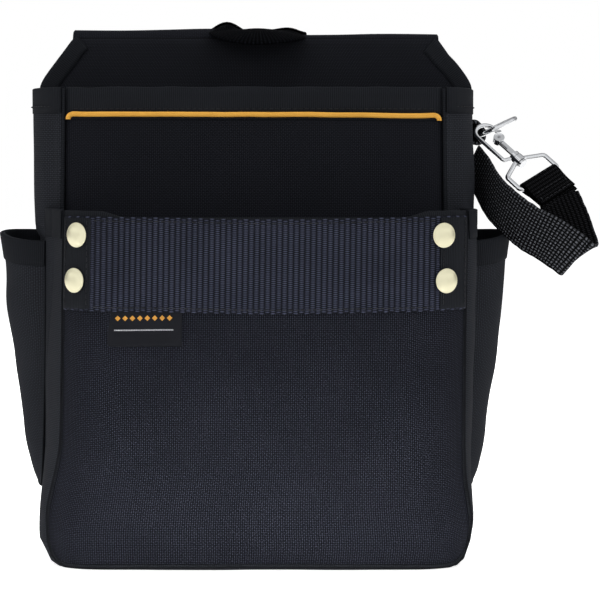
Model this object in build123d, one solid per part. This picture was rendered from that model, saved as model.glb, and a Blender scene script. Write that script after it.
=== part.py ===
from build123d import *
import os

# Electrician's waist pouch: a main compartment, a front pocket, two side pockets, a belt
# tunnel behind, a grab loop on top, and a webbing strap that a swivel hook clips to a ring.
# Millimetres. +X is to the right seen from the front, +Y is the back, +Z is up. The origin
# is the middle of the flat base.

# Cloth and trim
CLOTH = 1.6                 # two layers of coated nylon
TAPE = 0.8                  # binding tape
LINING = 1.2
BOARD = 2.0                 # plastic stiffener
CORNER = 14.0               # radius of the pouch's lower corners

# Back, seen from the front
BACK_Y = 50.0               # outer face of the back cloth
BACK_HALF = 124.5           # half width below the chamfers
CHAMFER_Z = 267.0           # where the chamfers start
FOLD_Z = 294.4              # centre of the top fold
FOLD_HALF = 106.0           # half width of the fold
LINING_INSET = 2.6          # the lining and board stop this far inside the side seams

# Belt flap
TUNNEL = 8.0                # clear gap of the belt tunnel
FLAP_FOOT_Z = 222.0         # lower edge of the flap
FLAP_SEAM = 10.0            # height of the sewn foot
FLAP_SLANT = 12.0           # height of the slanted part above the foot

# Main compartment
MAIN_Y = -7.0               # outer face of the main panel
MAIN_HEAD = 264.0           # height of the main mouth
BINDING_DROP = 13.0         # depth of the binding over an edge
BASE_BOARD_HALF = 95.0
PIPING_R = 1.5
PIPING_Z = 248.5

# Front pocket, which leans to the right of the main compartment
FRONT_Y = -51.6             # outer face of the front panel
FRONT_HEAD = 196.0
FRONT_FOOT = 4.5            # the front panel's lower seam stands this far off the ground

# Webbing across the front, and its rivets
BAND_Z = (143.0, 193.0)
BAND_X = (-101.6, 114.9)
BAND_THICK = 1.6
RIVET_X = (-95.3, 104.6)
RIVET_Z = (159.0, 183.6)
RIVET_CAP_R = 6.5
RIVET_CAP_HIGH = 2.2
RIVET_POST_R = 1.5
RIVET_BACK_R = 5.0
RIVET_BACK_THICK = 1.0

LABEL_X = (-79.0, -38.0)
LABEL_Z = (123.6, 146.0)
LABEL_THICK = 0.6

# Side pockets: half an ellipse in plan, (height, reach from the middle, half length)
POCKET_Y = 27.0
POCKET_CORE_X = 112.0
POCKET_STATIONS = [(42.0, 127.0, 17.0), (76.0, 132.5, 20.0), (112.0, 138.5, 21.5), (181.0, 145.2, 22.0)]
POCKET_CUFF = 12.0

# Grab loop
LOOP_TAPE = 1.6
LOOP_WIDE = 20.0            # width of its webbing
LOOP_MIDDLE = 1.0           # it sits this far right of the middle
LOOP_OUTER_R = 28.0
LOOP_LEG = 3.0              # straight part before the bend
LOOP_DROOP = 20.0           # degrees below level
LOOP_GAP = 1.2              # between the sewn ends and the free part
LOOP_LIFT = 0.5             # the free part starts this far above the sewn ends
LOOP_END_Z = 262.0          # lower edge of the sewn ends

# Ring and tab
RING_R = 12.0               # to the middle of the wire
RING_WIRE_R = 1.3
RING_HINGE = Vector(130.0, 50.0, 237.8)
RING_REACH = Vector(0.9, 0.0, 0.436).normalized()
TAB_HALF = 3.0
TAB_R = 3.9
TAB_BORE_R = 2.1
TAB_ROOT_X = 126.3
ANCHOR_THICK = 0.6          # what is left of the sewn tape outside the seam
ANCHOR_Y = (47.6, 50.4)
ANCHOR_Z = (209.3, 246.0)

# Hook, in its own plane: x along the hook away from the ring, y across it, z its normal
HOOK_AXIS = Vector(0.6235, -0.5, -0.601).normalized()
HOOK_ACROSS = Vector(0.781, 0.433, 0.45)
HOOK_ORIGIN = Vector(134.5, 41.6, 240.5)
HOOK_ROD_R = 1.2
BOWL = (0.5, -1.2)          # centre of the bowl that holds the ring
BOWL_R = 6.0
GATE_PIN = (8.6, 1.6)
GATE_PIN_R = 0.9
GATE_KNUCKLE_R = 2.1
GATE_HALF = 0.7             # half thickness of the gate
GATE_SPRING_THICK = 0.3
CHEEK = (1.2, 2.0)          # inner and outer face of each cheek
CHEEK_R = 3.2
SHOULDER = (23.2, 25.6)
COLLAR = (26.0, 30.0)
NECK_R = 1.9
COLLAR_BORE_R = 2.0
EYE_BAR_X = 45.5
EYE_HALF = 14.4
EYE_ROD_R = 1.4

# Strap
STRAP_WIDE = 25.0
STRAP_THICK = 1.6
STRAP_SLEEVE_R = 3.3
STRAP_SLEEVE_BORE_R = 1.6
STRAP_END_LONG = 13.0
STRAP_SECTIONS = 30
# From the seam to the sewn end: middle of the tape, and the way its width points
STRAP_ROUTE = [
    ((126.2, 48.4, 221.8), (0.0, 0.0, 1.0)),
    ((131.5, 40.0, 214.8), (0.1, -0.2, 0.97)),
    ((137.2, 27.0, 203.2), (0.28, -0.4, 0.86)),
    ((145.0, 12.0, 194.0), (0.35, -0.4, 0.85)),
    ((155.0, 1.5, 185.6), (0.45, -0.3, 0.83)),
    ((166.0, -4.5, 179.3), (0.6, -0.15, 0.78)),
    ((175.5, -9.5, 172.8), (0.7, 0.0, 0.7)),
    ((181.5, -7.7, 168.8), (0.75, 0.03, 0.65)),
    ((183.3, -2.0, 171.6), (0.77, 0.08, 0.62)),
    ((181.3, 1.9, 179.3), (0.79, 0.18, 0.58)),
    ((177.5, 4.7, 189.2), (0.8, 0.3, 0.52)),
]
STRAP_START_WAY = Vector(0.75, -0.66, 0.0)


def block(x, y, z):
    """A box between two X values, two Y values and two Z values."""
    size = Box(x[1] - x[0], y[1] - y[0], z[1] - z[0])
    return Pos((x[0] + x[1]) / 2, (y[0] + y[1]) / 2, (z[0] + z[1]) / 2) * size


def upright(y):
    """A plane that faces the front at depth y: its x is X and its y is Z."""
    return Plane((0, y, 0), x_dir=(1, 0, 0), z_dir=(0, -1, 0))


class Outline:
    """One front-view outline of the pouch: leaning sides and two round lower corners."""

    def __init__(self, y, head_half, foot_half, head_shift=0.0, foot_shift=0.0, foot=0.0, radius=CORNER):
        self.y = y
        self.halves = (head_half, foot_half)
        self.shifts = (head_shift, foot_shift)
        self.foot = foot
        self.radius = radius

    def face(self, head, grow=0.0, y=None):
        """The flat area inside the outline, at its own depth or at another."""
        top, low = (half + grow for half in self.halves)
        top_at, low_at = self.shifts
        floor = self.foot - grow
        points = [(top_at - top, head), (low_at - low, floor), (low_at + low, floor), (top_at + top, head)]
        outline = make_face(Polyline(points, close=True))
        outline = fillet(outline.vertices().sort_by(Axis.Y)[:2], self.radius + grow)
        return upright(self.y if y is None else y) * outline


MAIN_OUTLINES = [
    Outline(MAIN_Y + CLOTH, 105.4, 110.0),
    Outline(12.0, 118.5, 119.0),
    Outline(BACK_Y - CLOTH, BACK_HALF, BACK_HALF),
]
FRONT_OUTLINES = [
    Outline(FRONT_Y + CLOTH, 108.3, 114.5, 6.6, 3.7, FRONT_FOOT, 12.0),
    Outline(-40.0, 119.0, 119.5, 7.2, 3.2),
    Outline(-10.0, 121.0, 120.5, 6.5, 3.0),
    Outline(6.0, 116.3, 117.6),
]


def filled(rings, head, grow=0.0):
    """The solid that a row of outlines encloses."""
    return loft([ring.face(head, grow) for ring in rings], ruled=True)


def walls(rings, head, outside=0.0, inside=CLOTH, lid=0.0):
    """The U-shaped wall that follows a row of outlines, open at the top, front and back."""
    return filled(rings, head + lid, outside) - filled(rings, head + 20, -inside)


def panel(ring, y, thick, head, grow=0.0):
    """A flat cloth panel with one outline, from y back by its thickness."""
    return extrude(ring.face(head, grow, y), amount=thick, dir=(0, 1, 0))


def halves(solid, name, floor, floor_y):
    """Split a U-shaped wall into its left side, its right side and its base."""
    wide = 400
    base_zone = block((-wide, wide), (-wide, floor_y), (-5, floor))
    left_zone = block((-wide, 0), (-wide, wide), (-5, wide))
    sides = solid - base_zone
    return {
        name + "_gusset_left": sides & left_zone,
        name + "_gusset_right": sides - left_zone,
        name + "_base": solid & base_zone,
    }


def back_outline(side, foot, inset):
    """Front-view outline of the back: round lower corners and chamfered upper ones."""
    half = side - inset
    points = [
        (-half, foot), (half, foot), (half, CHAMFER_Z - inset), (FOLD_HALF - inset, FOLD_Z),
        (-FOLD_HALF + inset, FOLD_Z), (-half, CHAMFER_Z - inset),
    ]
    outline = make_face(Polyline(points, close=True))
    return fillet(outline.vertices().sort_by(Axis.Y)[:2], CORNER - inset)


def make_back():
    """Back cloth, stiffener, lining, belt flap and the binding on the two chamfers."""
    cloth_front = BACK_Y - CLOTH
    board_front = cloth_front - BOARD
    lining_front = board_front - LINING
    inner = back_outline(BACK_HALF, LINING_INSET, LINING_INSET)
    parts = {
        "back_panel": extrude(upright(cloth_front) * back_outline(BACK_HALF, 0, 0), CLOTH, dir=(0, 1, 0)),
        "back_board": extrude(upright(board_front) * inner, BOARD, dir=(0, 1, 0)),
        "back_lining": extrude(upright(lining_front) * inner, LINING, dir=(0, 1, 0)),
        "belt_flap": make_flap(),
    }
    stack = [parts[name] for name in ("back_panel", "back_board", "back_lining", "belt_flap")]
    head = MAIN_HEAD + 2 * TAPE
    for name, way in (("back_binding_left", -1), ("back_binding_right", 1)):
        corners = [
            (BACK_HALF + TAPE, head), (BACK_HALF + TAPE, CHAMFER_Z), (FOLD_HALF + TAPE, FOLD_Z),
            (FOLD_HALF - 9, FOLD_Z), (BACK_HALF - 9, head),
        ]
        strip = make_face(Polyline([(way * x, z) for x, z in corners], close=True))
        strip = extrude(upright(lining_front - TAPE) * strip, BACK_Y - lining_front + 2 * TAPE, dir=(0, 1, 0))
        for piece in stack:
            strip = strip - piece
        parts[name] = strip
    return parts


def make_flap():
    """The back cloth over the top fold and down behind, sewn to the back at its foot."""
    near = BACK_Y + TUNNEL
    inner_r = TUNNEL / 2
    centre = (BACK_Y + inner_r, FOLD_Z)
    ring = Pos(*centre) * (Circle(inner_r + CLOTH) - Circle(inner_r))
    upper = Pos(centre[0], FOLD_Z + 20) * Rectangle(60, 40)
    fold = ring & upper
    seam_top = FLAP_FOOT_Z + FLAP_SEAM
    slant_top = seam_top + FLAP_SLANT
    down = Polyline(
        (near, FOLD_Z), (near, slant_top), (BACK_Y, seam_top), (BACK_Y, FLAP_FOOT_Z),
        (BACK_Y + CLOTH, FLAP_FOOT_Z), (BACK_Y + CLOTH, seam_top), (near + CLOTH, slant_top),
        (near + CLOTH, FOLD_Z), close=True,
    )
    section = fold + make_face(down)
    return extrude(Plane.YZ.offset(-FOLD_HALF) * section, 2 * FOLD_HALF)


def make_main():
    """Walls, base, stiffener, bindings and piping of the main compartment."""
    shell = walls(MAIN_OUTLINES, MAIN_HEAD)
    parts = halves(shell, "main", CORNER, BACK_Y)
    parts["main_panel"] = panel(MAIN_OUTLINES[0], MAIN_Y, CLOTH, MAIN_HEAD)
    parts["base_board"] = block((-BASE_BOARD_HALF, BASE_BOARD_HALF), (MAIN_Y + 3, BACK_Y - 8), (CLOTH, CLOTH + BOARD))
    low = MAIN_HEAD - BINDING_DROP
    front = MAIN_Y + CLOTH + TAPE
    cuff = panel(MAIN_OUTLINES[0], MAIN_Y - TAPE, CLOTH + 2 * TAPE, MAIN_HEAD + TAPE)
    cuff = cuff & block((-200, 200), (-60, front), (low, 300))
    parts["main_mouth_binding"] = cuff - parts["main_panel"] - shell
    rear = BACK_Y - CLOTH - BOARD - LINING
    add_gusset_cuffs(parts, "main", MAIN_OUTLINES, MAIN_HEAD, shell, (front, rear), None)
    parts["piping"] = make_piping()
    return parts


def add_gusset_cuffs(parts, name, rings, head, shell, depth, keep_out):
    """Binding over the top edge of a gusset's left and right sides."""
    zone = block((-200, 200), depth, (head - BINDING_DROP - TAPE, head + TAPE))
    cuff = (walls(rings, head, TAPE, CLOTH + TAPE, TAPE) & zone) - shell
    if keep_out is not None:
        cuff = cuff - keep_out
    left = block((-200, 0), (-200, 200), (0, 400))
    parts[name + "_gusset_binding_left"] = cuff & left
    parts[name + "_gusset_binding_right"] = cuff - left


def make_piping():
    """The piping cord: straight under the binding, with both ends turned down."""
    half = 103.0
    turn = 6.0
    path = FilletPolyline(
        (-half, PIPING_Z - turn - 1), (-half, PIPING_Z), (half, PIPING_Z), (half, PIPING_Z - turn - 1),
        radius=turn,
    )
    path = upright(MAIN_Y - PIPING_R) * path
    start = Plane(path @ 0, z_dir=path % 0)
    return sweep(start * Circle(PIPING_R), path=path)


def make_front(envelope):
    """Walls, base, bindings, webbing, rivets and label of the front pocket."""
    shell = walls(FRONT_OUTLINES, FRONT_HEAD) - envelope
    parts = halves(shell, "front", CORNER, MAIN_Y)
    face = FRONT_OUTLINES[0]
    parts["front_panel"] = panel(face, FRONT_Y, CLOTH, FRONT_HEAD)
    rear = FRONT_Y + CLOTH + TAPE
    cuff = panel(face, FRONT_Y - TAPE, CLOTH + 2 * TAPE, FRONT_HEAD + TAPE)
    cuff = cuff & block((-200, 200), (-80, rear), (FRONT_HEAD - BINDING_DROP, 220))
    band_y = (FRONT_Y - TAPE - BAND_THICK, FRONT_Y - TAPE)
    posts = Compound(children=[
        Pos(x, band_y[0], z) * Rot(-90, 0, 0) * Cylinder(
            RIVET_POST_R, BAND_THICK + TAPE + CLOTH + TAPE + 0.2, align=(Align.CENTER, Align.CENTER, Align.MIN))
        for x in RIVET_X for z in RIVET_Z
    ])
    parts["front_mouth_binding"] = cuff - parts["front_panel"] - shell - posts
    parts["front_panel"] = parts["front_panel"] - posts
    band = block(BAND_X, band_y, BAND_Z)
    parts["webbing_band"] = band - posts
    parts["rivet_posts"] = posts
    parts["rivet_caps"] = rivets(band_y[0], make_cap)
    parts["rivet_backs"] = rivets(rear, make_rivet_back)
    parts["rivet_posts"] = posts - parts["rivet_backs"]
    parts["label"] = block(LABEL_X, (FRONT_Y - LABEL_THICK, FRONT_Y), LABEL_Z)
    add_gusset_cuffs(parts, "front", FRONT_OUTLINES, FRONT_HEAD, shell, (rear, 4.0), envelope)
    return parts


def rivets(y, maker):
    """The same piece at each of the four rivets."""
    return Compound(children=[Pos(x, y, z) * maker() for x in RIVET_X for z in RIVET_Z])


def make_cap():
    """A domed rivet cap that faces the front."""
    dome_r = (RIVET_CAP_R ** 2 + RIVET_CAP_HIGH ** 2) / (2 * RIVET_CAP_HIGH)
    ball = Pos(0, dome_r - RIVET_CAP_HIGH, 0) * Sphere(dome_r)
    return ball & block((-10, 10), (-10, 0), (-10, 10))


def make_rivet_back():
    """The flat washer on the inside of a rivet."""
    return Rot(-90, 0, 0) * Cylinder(
        RIVET_BACK_R, RIVET_BACK_THICK, align=(Align.CENTER, Align.CENTER, Align.MIN))


def pocket_solid(grow, floor_lift=0.0, head_lift=0.0):
    """The solid inside a right-hand side pocket's outer face."""
    faces = []
    for z, reach, half_long in POCKET_STATIONS:
        if z == POCKET_STATIONS[0][0]:
            z = z + floor_lift
        if z == POCKET_STATIONS[-1][0]:
            z = z + head_lift
        oval = Ellipse(reach - POCKET_CORE_X + grow, half_long + grow)
        faces.append(Plane((POCKET_CORE_X, POCKET_Y, z)) * oval)
    return loft(faces)


def make_pockets(envelope, others):
    """Two open side pockets on the gussets, each with a cuff round its mouth."""
    head = POCKET_STATIONS[-1][0]
    outer = pocket_solid(0)
    wall = outer - pocket_solid(-CLOTH, CLOTH, 5) - envelope
    cuff = pocket_solid(TAPE, 0, TAPE) & block((100, 160), (-20, 70), (head - POCKET_CUFF, head + TAPE))
    cuff = cuff - outer - pocket_solid(-CLOTH, CLOTH, 5) - envelope
    parts = {}
    for side, place in (("right", lambda s: s), ("left", lambda s: mirror(s, about=Plane.YZ))):
        body = place(wall)
        rim = place(cuff)
        for other in others:
            body = body - other
            rim = rim - other
        parts["side_pocket_" + side] = body
        parts["side_binding_" + side] = rim
    return parts


def make_grab_loop():
    """The sewn ends over the fold, and the free U-shaped part that droops in front."""
    fold_y = BACK_Y + TUNNEL / 2
    inner_r = TUNNEL / 2 + CLOTH
    outer_r = inner_r + LOOP_TAPE
    inner_half = LOOP_OUTER_R - LOOP_WIDE
    wrap = Pos(fold_y, FOLD_Z) * (Circle(outer_r) - Circle(inner_r))
    wrap = wrap & (Pos(fold_y + 20, FOLD_Z + 20) * Rectangle(40, 40))
    rear = Pos(fold_y + (inner_r + outer_r) / 2, (LOOP_END_Z + FOLD_Z) / 2) * Rectangle(
        LOOP_TAPE, FOLD_Z - LOOP_END_Z)
    ends = None
    for start in (LOOP_MIDDLE - LOOP_OUTER_R, LOOP_MIDDLE + inner_half):
        leg = extrude(Plane.YZ.offset(start) * (wrap + rear), LOOP_WIDE)
        ends = leg if ends is None else Compound(children=[ends, leg])
    top = FOLD_Z + outer_r + LOOP_LIFT
    plate = Pos(0, -LOOP_LEG) * (Circle(LOOP_OUTER_R) - Circle(inner_half))
    plate = plate & (Pos(0, -LOOP_LEG - 20) * Rectangle(60, 40))
    legs = Pos(0, -LOOP_LEG / 2) * (Rectangle(2 * LOOP_OUTER_R, LOOP_LEG) - Rectangle(2 * inner_half, LOOP_LEG))
    flat = extrude(plate + legs, -LOOP_TAPE)
    free = Pos(LOOP_MIDDLE, fold_y - LOOP_GAP, top) * Rot(LOOP_DROOP, 0, 0) * flat
    return {"grab_loop_ends": ends, "grab_loop": free}


def make_tab_and_ring():
    """The webbing tab in the back seam and the ring that it holds."""
    x, y, z = RING_HINGE
    section = Pos(x, z) * Circle(TAB_R)
    wedge = make_face(Polyline(
        (TAB_ROOT_X, z + TAB_R + 0.8), (x, z + TAB_R), (x, z - TAB_R), (TAB_ROOT_X, z - TAB_R + 0.8), close=True))
    section = (section + wedge) - Pos(x, z) * Circle(TAB_BORE_R)
    tab = extrude(upright(y - TAB_HALF) * section, 2 * TAB_HALF, dir=(0, 1, 0))
    middle = RING_HINGE + RING_REACH * RING_R
    ring_normal = RING_REACH.cross(Vector(0, 1, 0))
    ring = Plane(middle, x_dir=RING_REACH, z_dir=ring_normal) * Torus(RING_R, RING_WIRE_R)
    anchor = block((BACK_HALF, BACK_HALF + ANCHOR_THICK), ANCHOR_Y, ANCHOR_Z)
    return {"strap_anchor": anchor, "strap_tab": tab, "ring": ring}


def hook_plane():
    """The hook's own plane, with its x along the hook and its y across it."""
    normal = HOOK_AXIS.cross(HOOK_ACROSS).normalized()
    return Plane(HOOK_ORIGIN, x_dir=HOOK_AXIS, z_dir=normal)


def along(radius, span, plane):
    """A cylinder on the hook's long axis, between two distances from its origin."""
    bar = Rot(0, 90, 0) * Cylinder(radius, span[1] - span[0], align=(Align.CENTER, Align.CENTER, Align.MIN))
    return plane * (Pos(span[0], 0, 0) * bar)


def through(radius, at, span, plane):
    """A cylinder square to the hook's plane, between two heights."""
    bar = Cylinder(radius, span[1] - span[0], align=(Align.CENTER, Align.CENTER, Align.MIN))
    return plane * (Pos(at[0], at[1], span[0]) * bar)


def make_hook():
    """Hook body, gate with its pin and spring, and the swivel eye with its bar."""
    plane = hook_plane()
    side = BOWL[1] - BOWL_R
    back = BOWL[1] + BOWL_R
    lead = FilletPolyline((SHOULDER[0] + 1, -2.6), (SHOULDER[0] - 0.4, side), (BOWL[0], side), radius=2.0)
    turn = ThreePointArc((BOWL[0], side), (BOWL[0] - BOWL_R, BOWL[1]), (BOWL[0], back))
    tail = Line((BOWL[0], back), (GATE_PIN[0] - CHEEK_R, back))
    path = Wire([*lead.edges(), turn, tail])
    start = Plane(path @ 0, z_dir=path % 0)
    rod = plane * sweep(start * Circle(HOOK_ROD_R), path=path)
    bridge = plane * (Pos(GATE_PIN[0] - CHEEK_R, back - 0.6, 0) * Box(1.5, 3.2, 2 * CHEEK[1]))
    body = rod + bridge
    body = body + through(CHEEK_R, GATE_PIN, CHEEK, plane)
    body = body + through(CHEEK_R, GATE_PIN, (-CHEEK[1], -CHEEK[0]), plane)
    body = body + along(3.4, SHOULDER, plane)
    body = body + along(NECK_R, (SHOULDER[1], COLLAR[1] + 0.3), plane)
    body = body + along(3.0, (COLLAR[1] + 0.3, COLLAR[1] + 1.6), plane)
    pin = through(GATE_PIN_R, GATE_PIN, (-CHEEK[1] - 0.3, CHEEK[1] + 0.3), plane)
    body = body - pin
    spring = make_gate_spring(plane)
    lever = make_lever(plane)
    return {
        "hook_body": body, "gate_pin": pin, "gate_spring": spring, "gate_lever": lever,
        "swivel_eye": make_eye(plane),
    }


def make_lever(plane):
    """The flat gate lever, with a round knuckle on the pin."""
    tip = SHOULDER[0] - 0.3
    arm = Pos((GATE_PIN[0] + tip) / 2, 0.9) * Rectangle(tip - GATE_PIN[0], 3.2)
    knuckle = Pos(*GATE_PIN) * Circle(GATE_KNUCKLE_R)
    shape = (arm + knuckle) - Pos(*GATE_PIN) * Circle(GATE_PIN_R + 0.08)
    return plane * (Pos(0, 0, -GATE_HALF) * extrude(shape, 2 * GATE_HALF))


def make_gate_spring(plane):
    """A flat torsion spring: a loop round the pin and one leg along the gate."""
    loop = Pos(*GATE_PIN) * (Circle(1.9) - Circle(GATE_PIN_R + 0.15))
    leg = Pos(GATE_PIN[0] + 4.5, GATE_PIN[1] - 1.55) * Rectangle(9, 0.6)
    coil = Pos(0, 0, GATE_HALF + 0.1) * extrude(loop + leg, GATE_SPRING_THICK)
    return plane * coil


def make_eye(plane):
    """Collar on the hook's neck, and a D-shaped frame with a straight bar for the tape."""
    collar = along(3.6, COLLAR, plane) - along(COLLAR_BORE_R, COLLAR, plane)
    middle = (COLLAR[0] + COLLAR[1]) / 2
    path = FilletPolyline(
        (middle, -2.9), (33.5, -EYE_HALF), (EYE_BAR_X, -EYE_HALF), (EYE_BAR_X, EYE_HALF),
        (33.5, EYE_HALF), (middle, 2.9), radius=2.4,
    )
    start = Plane(path @ 0, z_dir=path % 0)
    frame = plane * sweep(start * Circle(EYE_ROD_R), path=path)
    return (collar + frame) - along(COLLAR_BORE_R, COLLAR, plane)


def make_strap():
    """The tape from the seam round to the hook's bar, and its sewn end on the bar."""
    plane = hook_plane()
    sleeve = Circle(STRAP_SLEEVE_R) - Circle(STRAP_SLEEVE_BORE_R)
    tongue = Pos(STRAP_SLEEVE_R - 0.9 + STRAP_END_LONG / 2, 0) * Rectangle(STRAP_END_LONG, 2 * STRAP_THICK)
    section = sleeve + (tongue - Circle(STRAP_SLEEVE_BORE_R))
    bar_at = plane.from_local_coords(Vector(EYE_BAR_X, 0, 0))
    bar_plane = Plane(bar_at, x_dir=plane.x_dir, z_dir=plane.y_dir * -1)
    end = bar_plane * (Pos(0, 0, -STRAP_WIDE / 2) * extrude(section, STRAP_WIDE))
    reach = STRAP_SLEEVE_R - 0.9 + STRAP_END_LONG
    finish = bar_plane.from_local_coords(Vector(reach, 0, 0))
    points = [Vector(*at) for at, _ in STRAP_ROUTE] + [finish]
    widths = [Vector(*way) for _, way in STRAP_ROUTE] + [plane.y_dir]
    line = Spline(points, tangents=[STRAP_START_WAY, plane.x_dir * -1])
    rims = []
    for step in range(STRAP_SECTIONS + 1):
        share = step / STRAP_SECTIONS
        place = share * (len(widths) - 1)
        low = min(int(place), len(widths) - 2)
        way = widths[low] * (1 - place + low) + widths[low + 1] * (place - low)
        tangent = line % share
        across = (way - tangent * way.dot(tangent)).normalized() * (STRAP_WIDE / 2)
        normal = tangent.cross(across).normalized() * (STRAP_THICK / 2)
        middle = line @ share
        rims.append([
            middle - across - normal, middle + across - normal,
            middle + across + normal, middle - across + normal,
        ])
    return {"strap_end": end, "tape_strap": skin(rims)}


def triangle(*corners):
    """A flat face with three corners."""
    return Face(Wire.make_polygon(corners, close=True))


def skin(rims):
    """A closed solid through a row of four-cornered sections."""
    faces = []
    for near, far in zip(rims, rims[1:]):
        for corner in range(4):
            after = (corner + 1) % 4
            faces.append(triangle(near[corner], near[after], far[after]))
            faces.append(triangle(near[corner], far[after], far[corner]))
    for rim in (rims[0], rims[-1]):
        faces.append(triangle(rim[0], rim[1], rim[2]))
        faces.append(triangle(rim[0], rim[2], rim[3]))
    return Solid(Shell(faces))


def make_pouch():
    """Every node of the pouch by name."""
    envelope = filled(MAIN_OUTLINES, MAIN_HEAD + 20) + panel(MAIN_OUTLINES[0], MAIN_Y, CLOTH, MAIN_HEAD + 20)
    envelope = envelope + extrude(upright(BACK_Y - CLOTH) * back_outline(BACK_HALF, 0, 0), 5, dir=(0, 1, 0))
    parts = make_back()
    parts.update(make_main())
    front = make_front(envelope)
    parts.update(front)
    neighbours = [
        front["front_gusset_left"], front["front_gusset_right"],
        front["front_gusset_binding_left"], front["front_gusset_binding_right"],
    ]
    parts.update(make_pockets(envelope, neighbours))
    parts.update(make_grab_loop())
    parts.update(make_tab_and_ring())
    parts.update(make_hook())
    parts.update(make_strap())
    return parts


os.makedirs("parts", exist_ok=True)
for node, shape in make_pouch().items():
    export_step(shape, f"parts/{node}.step")
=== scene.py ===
"""Looks of an electrician's waist pouch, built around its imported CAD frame.

Shapes are worked out in millimetres, and turned into metres when a piece is made.
"""
import math

import bmesh
import bpy
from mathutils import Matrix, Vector, noise


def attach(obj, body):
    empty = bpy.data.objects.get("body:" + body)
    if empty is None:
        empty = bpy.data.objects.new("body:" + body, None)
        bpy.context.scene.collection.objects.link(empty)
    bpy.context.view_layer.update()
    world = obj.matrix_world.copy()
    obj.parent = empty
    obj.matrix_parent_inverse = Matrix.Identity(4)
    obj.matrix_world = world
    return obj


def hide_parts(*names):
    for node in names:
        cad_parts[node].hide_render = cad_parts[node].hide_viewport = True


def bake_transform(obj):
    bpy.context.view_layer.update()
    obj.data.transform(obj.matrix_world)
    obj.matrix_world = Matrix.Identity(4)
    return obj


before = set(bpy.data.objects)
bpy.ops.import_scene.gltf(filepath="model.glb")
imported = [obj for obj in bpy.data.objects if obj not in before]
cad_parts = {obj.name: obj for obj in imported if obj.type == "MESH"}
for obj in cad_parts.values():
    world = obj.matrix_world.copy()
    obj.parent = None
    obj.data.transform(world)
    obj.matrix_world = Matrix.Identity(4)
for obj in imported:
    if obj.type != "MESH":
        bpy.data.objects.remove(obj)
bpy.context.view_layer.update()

MM = 0.001
DOWN = Vector((0, 0, -1))
FORWARD = Vector((0, -1, 0))
UV_NAME = "weave"
SHEEN_ROUGHNESS = 0.45

# Cloth, tape and thread
CLOTH = 1.6
TAPE = 0.8
BINDING_DROP = 13.5
CORNER = 14.0
STITCH_PITCH = 3.3
STITCH_LONG = 2.5
STITCH_R = 0.27
STITCH_LEAD = 0.4
STITCH_SHORTEST = 0.5

# Places of the sewn layers
BACK_Y = 50.0
BACK_HALF = 124.5
CHAMFER_Z = 267.0
FOLD_Z = 294.4
FOLD_HALF = 106.0
FOLD_Y = 54.0
FOLD_INNER_R = 4.0
LINING_Y = 45.2
MAIN_Y = -7.0
MAIN_HEAD = 264.0
FRONT_Y = -51.6
BAND_Z = (143.0, 193.0)
LABEL_X = (-79.0, -38.0)
LABEL_Z = (123.6, 146.5)
RIVET_X = (-95.3, 104.6)
RIVET_Z = (159.0, 183.6)
FLAP_FOOT_Z = 222.0
FLAP_CELLS = 64
FLAP_DOWN = [
    (59.9, 286.0), (60.6, 270.0), (60.4, 256.0), (58.2, 245.0), (53.4, 236.0), (51.9, 231.5), (51.7, 226.0),
]

# Piping: half length, height, and the radius of its turned-down ends
PIPING_HALF = 103.0
PIPING_Z = 249.2
PIPING_TURN = 3.0

# Rivets as (radius, distance in), from spots that are RIVET_LIFT over the front panel
RIVET_CAP = [
    (0.0, -2.7), (1.6, -2.62), (3.2, -2.3), (4.6, -1.75), (5.5, -1.15), (6.05, -0.75), (6.5, -0.62),
    (6.8, -0.35), (6.75, 0.0), (6.3, 0.15), (0.0, 0.15),
]
RIVET_WASHER = [(0.0, 0.0), (4.6, 0.0), (5.0, 0.3), (4.6, 0.9), (2.4, 1.1), (0.0, 1.1)]
RIVET_POST = [(0.0, 0.0), (1.5, 0.0), (1.5, 6.6), (0.0, 6.6)]
RIVET_LIFT = 3.9

# Front panel: its two side seams as (height, X), and how it rolls back to them
FRONT_LEFT = [
    (5, -112.7), (22, -113.0), (35, -110.7), (47, -108.0), (61, -105.7), (100, -104.5), (196, -102.4),
]
FRONT_RIGHT = [
    (5, 118.0), (17, 119.6), (28, 118.3), (43, 116.2), (70, 115.4), (130, 115.8), (196, 116.3),
]
FRONT_HEAD = 196.0
FRONT_FOOT = 5.0
ROLL_R = 34.0
ROLL_END = math.radians(60)
FRONT_CORNER = 12.0

# Half width of the main compartment at a depth, at its mouth and at its base
MAIN_PLAN_HEAD = [(-7, 104.6), (-1, 112.0), (12, 118.9), (30, 122.6), (49, 124.5)]
MAIN_PLAN_FOOT = [(-7, 109.4), (-1, 114.6), (12, 120.2), (30, 123.2), (49, 124.5)]

# Side pockets: reach and half length at a height
POCKET_Y = 27.0
POCKET_CORE_X = 112.0
POCKET_REACH = [
    (38, 120.5), (42, 125.8), (52, 128.6), (76, 132.5), (100, 136.2), (140, 141.0), (170, 143.0),
    (183, 145.0),
]
POCKET_LONG = [(38, 15.0), (42, 17.0), (76, 20.0), (112, 21.5), (183, 22.0)]
POCKET_Z = (38.0, 181.5)

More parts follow.
